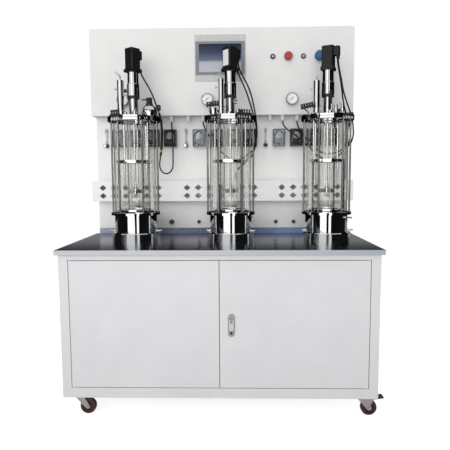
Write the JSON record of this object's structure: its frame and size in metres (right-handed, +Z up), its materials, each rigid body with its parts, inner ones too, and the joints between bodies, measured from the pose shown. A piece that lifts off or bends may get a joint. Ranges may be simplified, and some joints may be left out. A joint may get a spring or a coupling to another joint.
{
  "type": "stirred glass bench bioreactor system",
  "caption": "Stirred glass vessels on a white wheeled cabinet with a steel worktop, pumps, flowmeters, a hose rail and a control box with a touch panel.",
  "frame": {"origin": "on the floor, under the middle of the bench", "axes": "+X to the right and +Z up, with the doors and vessels facing -Y"},
  "size_m": [1.524, 0.88, 1.954],
  "materials": {
    "white_paint": "powder coat, satin",
    "mirror_steel": "mirror-polished stainless steel",
    "steel": "polished and brushed stainless steel",
    "glass": "clear borosilicate glass",
    "motor_black": "black, satin",
    "pump_black": "black moulding, satin",
    "rotor_grey": "grey moulding",
    "meter_clear": "clear tube and dark blocks",
    "chrome": "bright chrome",
    "zinc": "galvanised, dull",
    "wheel_brown": "brown nylon",
    "pedal_black": "black moulding",
    "panel_grey": "grey moulded frame, glossy screen",
    "fitting_plastic": "white and black mouldings",
    "unit_grey": "grey housings",
    "gasket_black": "moulded rubber, dull",
    "lead_black": "black sheath, satin",
    "latch_metal": "satin chrome",
    "stop_red": "red moulding",
    "button_blue": "blue moulding"
  },
  "bodies": {
    "frame": {"cabinet_body": "white_paint", "worktop": "mirror_steel", "rear_housing": "white_paint", "control_box": "white_paint", "hose_rail": "white_paint", "touch_panel": "panel_grey", "vessel_bases": "mirror_steel", "glass_vessels": "glass", "head_plates": "steel", "head_gaskets": "gasket_black", "tie_rods": "steel", "baffle_cages": "steel", "seal_housings": "steel", "drive_motors": "motor_black", "condensers": "steel", "head_fittings": "steel", "spargers": "steel", "pump_bodies": "pump_black", "flowmeters": "meter_clear", "pressure_gauges": "steel", "panel_fittings": "fitting_plastic", "castor_plates": "zinc", "inner_units": "unit_grey", "motor_leads": "lead_black"},
    "left_door": {"left_door": "white_paint"},
    "right_door": {"right_door": "white_paint", "latch_plate": "latch_metal"},
    "latch_spindle": {"latch_spindle": "latch_metal"},
    "latch_handle": {"latch_handle": "latch_metal"},
    "castor_fork_1": {"castor_fork_1": "zinc"},
    "castor_fork_2": {"castor_fork_2": "zinc"},
    "castor_fork_3": {"castor_fork_3": "zinc"},
    "castor_fork_4": {"castor_fork_4": "zinc"},
    "castor_wheel_1": {"castor_wheel_1": "wheel_brown"},
    "castor_wheel_2": {"castor_wheel_2": "wheel_brown"},
    "castor_wheel_3": {"castor_wheel_3": "wheel_brown"},
    "castor_wheel_4": {"castor_wheel_4": "wheel_brown"},
    "brake_pedal": {"brake_pedal": "pedal_black"},
    "stirrer_1": {"stirrer_1": "steel"},
    "stirrer_2": {"stirrer_2": "steel"},
    "stirrer_3": {"stirrer_3": "steel"},
    "stop_button": {"stop_button": "stop_red"},
    "blue_button": {"blue_button": "button_blue"},
    "key_barrel_1": {"key_barrel_1": "chrome"},
    "key_barrel_2": {"key_barrel_2": "chrome"},
    "valve_knob_1": {"valve_knob_1": "chrome"},
    "valve_knob_2": {"valve_knob_2": "chrome"},
    "valve_knob_3": {"valve_knob_3": "chrome"},
    "pump_rotor_1": {"pump_rotor_1": "rotor_grey"},
    "pump_rotor_2": {"pump_rotor_2": "rotor_grey"},
    "pump_rotor_3": {"pump_rotor_3": "rotor_grey"},
    "pump_rotor_4": {"pump_rotor_4": "rotor_grey"},
    "pump_rotor_5": {"pump_rotor_5": "rotor_grey"},
    "pump_rotor_6": {"pump_rotor_6": "rotor_grey"},
    "pump_rotor_7": {"pump_rotor_7": "rotor_grey"},
    "pump_rotor_8": {"pump_rotor_8": "rotor_grey"},
    "pump_rotor_9": {"pump_rotor_9": "rotor_grey"},
    "pump_rotor_10": {"pump_rotor_10": "rotor_grey"},
    "pump_rotor_11": {"pump_rotor_11": "rotor_grey"},
    "pump_rotor_12": {"pump_rotor_12": "rotor_grey"}
  },
  "joints": [
    {"name": "left_door_hinge", "type": "hinge", "parent": "frame", "child": "left_door", "pos_m": [-0.684, -0.42, 0.45], "axis": [0, 0, 1], "range_deg": [-110, 0]},
    {"name": "right_door_hinge", "type": "hinge", "parent": "frame", "child": "right_door", "pos_m": [0.684, -0.42, 0.45], "axis": [0, 0, 1], "range_deg": [0, 110]},
    {"name": "latch_turn", "type": "hinge", "parent": "right_door", "child": "latch_spindle", "pos_m": [0.0575, -0.42, 0.475], "axis": [0, 1, 0], "range_deg": [0, 90]},
    {"name": "latch_lift", "type": "hinge", "parent": "latch_spindle", "child": "latch_handle", "pos_m": [0.0575, -0.434, 0.475], "axis": [-1, 0, 0], "range_deg": [0, 35]},
    {"name": "castor_swivel_1", "type": "hinge", "parent": "frame", "child": "castor_fork_1", "pos_m": [-0.67, -0.37, 0.087], "axis": [0, 0, 1], "continuous": true},
    {"name": "castor_swivel_2", "type": "hinge", "parent": "frame", "child": "castor_fork_2", "pos_m": [0.67, -0.37, 0.087], "axis": [0, 0, 1], "continuous": true},
    {"name": "castor_swivel_3", "type": "hinge", "parent": "frame", "child": "castor_fork_3", "pos_m": [-0.67, 0.37, 0.087], "axis": [0, 0, 1], "continuous": true},
    {"name": "castor_swivel_4", "type": "hinge", "parent": "frame", "child": "castor_fork_4", "pos_m": [0.67, 0.37, 0.087], "axis": [0, 0, 1], "continuous": true},
    {"name": "castor_roll_1", "type": "hinge", "parent": "castor_fork_1", "child": "castor_wheel_1", "pos_m": [-0.633, -0.37, 0.0375], "axis": [0, 1, 0], "continuous": true},
    {"name": "castor_roll_2", "type": "hinge", "parent": "castor_fork_2", "child": "castor_wheel_2", "pos_m": [0.707, -0.37, 0.0375], "axis": [0, 1, 0], "continuous": true},
    {"name": "castor_roll_3", "type": "hinge", "parent": "castor_fork_3", "child": "castor_wheel_3", "pos_m": [-0.633, 0.37, 0.0375], "axis": [0, 1, 0], "continuous": true},
    {"name": "castor_roll_4", "type": "hinge", "parent": "castor_fork_4", "child": "castor_wheel_4", "pos_m": [0.707, 0.37, 0.0375], "axis": [0, 1, 0], "continuous": true},
    {"name": "brake_press", "type": "hinge", "parent": "castor_fork_2", "child": "brake_pedal", "pos_m": [0.722, -0.37, 0.0817], "axis": [0, 1, 0], "range_deg": [0, 14]},
    {"name": "stirrer_turn_1", "type": "hinge", "parent": "frame", "child": "stirrer_1", "pos_m": [-0.464, 0.02, 1.5], "axis": [0, 0, 1], "continuous": true},
    {"name": "stirrer_turn_2", "type": "hinge", "parent": "frame", "child": "stirrer_2", "pos_m": [0.051, 0.02, 1.5], "axis": [0, 0, 1], "continuous": true},
    {"name": "stirrer_turn_3", "type": "hinge", "parent": "frame", "child": "stirrer_3", "pos_m": [0.566, 0.02, 1.5], "axis": [0, 0, 1], "continuous": true},
    {"name": "stop_press", "type": "slide", "parent": "frame", "child": "stop_button", "axis": [0, 1, 0], "range_m": [0, 0.006]},
    {"name": "blue_press", "type": "slide", "parent": "frame", "child": "blue_button", "axis": [0, 1, 0], "range_m": [0, 0.006], "stiffness_N_per_m": 400},
    {"name": "key_turn_1", "type": "hinge", "parent": "frame", "child": "key_barrel_1", "pos_m": [0.287, 0.17, 1.795], "axis": [0, 1, 0], "range_deg": [0, 90]},
    {"name": "key_turn_2", "type": "hinge", "parent": "frame", "child": "key_barrel_2", "pos_m": [0.456, 0.17, 1.795], "axis": [0, 1, 0], "range_deg": [0, 90]},
    {"name": "valve_turn_1", "type": "hinge", "parent": "frame", "child": "valve_knob_1", "pos_m": [-0.68, 0.23, 1.314], "axis": [0, 1, 0], "range_deg": [0, 1080]},
    {"name": "valve_turn_2", "type": "hinge", "parent": "frame", "child": "valve_knob_2", "pos_m": [-0.214, 0.23, 1.314], "axis": [0, 1, 0], "range_deg": [0, 1080]},
    {"name": "valve_turn_3", "type": "hinge", "parent": "frame", "child": "valve_knob_3", "pos_m": [0.248, 0.23, 1.314], "axis": [0, 1, 0], "range_deg": [0, 1080]},
    {"name": "rotor_turn_1", "type": "hinge", "parent": "frame", "child": "pump_rotor_1", "pos_m": [-0.6, 0.24, 1.367], "axis": [0, 1, 0], "continuous": true},
    {"name": "rotor_turn_2", "type": "hinge", "parent": "frame", "child": "pump_rotor_2", "pos_m": [-0.5, 0.24, 1.367], "axis": [0, 1, 0], "continuous": true},
    {"name": "rotor_turn_3", "type": "hinge", "parent": "frame", "child": "pump_rotor_3", "pos_m": [-0.4, 0.24, 1.367], "axis": [0, 1, 0], "continuous": true},
    {"name": "rotor_turn_4", "type": "hinge", "parent": "frame", "child": "pump_rotor_4", "pos_m": [-0.3, 0.24, 1.367], "axis": [0, 1, 0], "continuous": true},
    {"name": "rotor_turn_5", "type": "hinge", "parent": "frame", "child": "pump_rotor_5", "pos_m": [-0.134, 0.24, 1.367], "axis": [0, 1, 0], "continuous": true},
    {"name": "rotor_turn_6", "type": "hinge", "parent": "frame", "child": "pump_rotor_6", "pos_m": [-0.034, 0.24, 1.367], "axis": [0, 1, 0], "continuous": true},
    {"name": "rotor_turn_7", "type": "hinge", "parent": "frame", "child": "pump_rotor_7", "pos_m": [0.066, 0.24, 1.367], "axis": [0, 1, 0], "continuous": true},
    {"name": "rotor_turn_8", "type": "hinge", "parent": "frame", "child": "pump_rotor_8", "pos_m": [0.166, 0.24, 1.367], "axis": [0, 1, 0], "continuous": true},
    {"name": "rotor_turn_9", "type": "hinge", "parent": "frame", "child": "pump_rotor_9", "pos_m": [0.328, 0.24, 1.367], "axis": [0, 1, 0], "continuous": true},
    {"name": "rotor_turn_10", "type": "hinge", "parent": "frame", "child": "pump_rotor_10", "pos_m": [0.428, 0.24, 1.367], "axis": [0, 1, 0], "continuous": true},
    {"name": "rotor_turn_11", "type": "hinge", "parent": "frame", "child": "pump_rotor_11", "pos_m": [0.528, 0.24, 1.367], "axis": [0, 1, 0], "continuous": true},
    {"name": "rotor_turn_12", "type": "hinge", "parent": "frame", "child": "pump_rotor_12", "pos_m": [0.628, 0.24, 1.367], "axis": [0, 1, 0], "continuous": true}
  ]
}
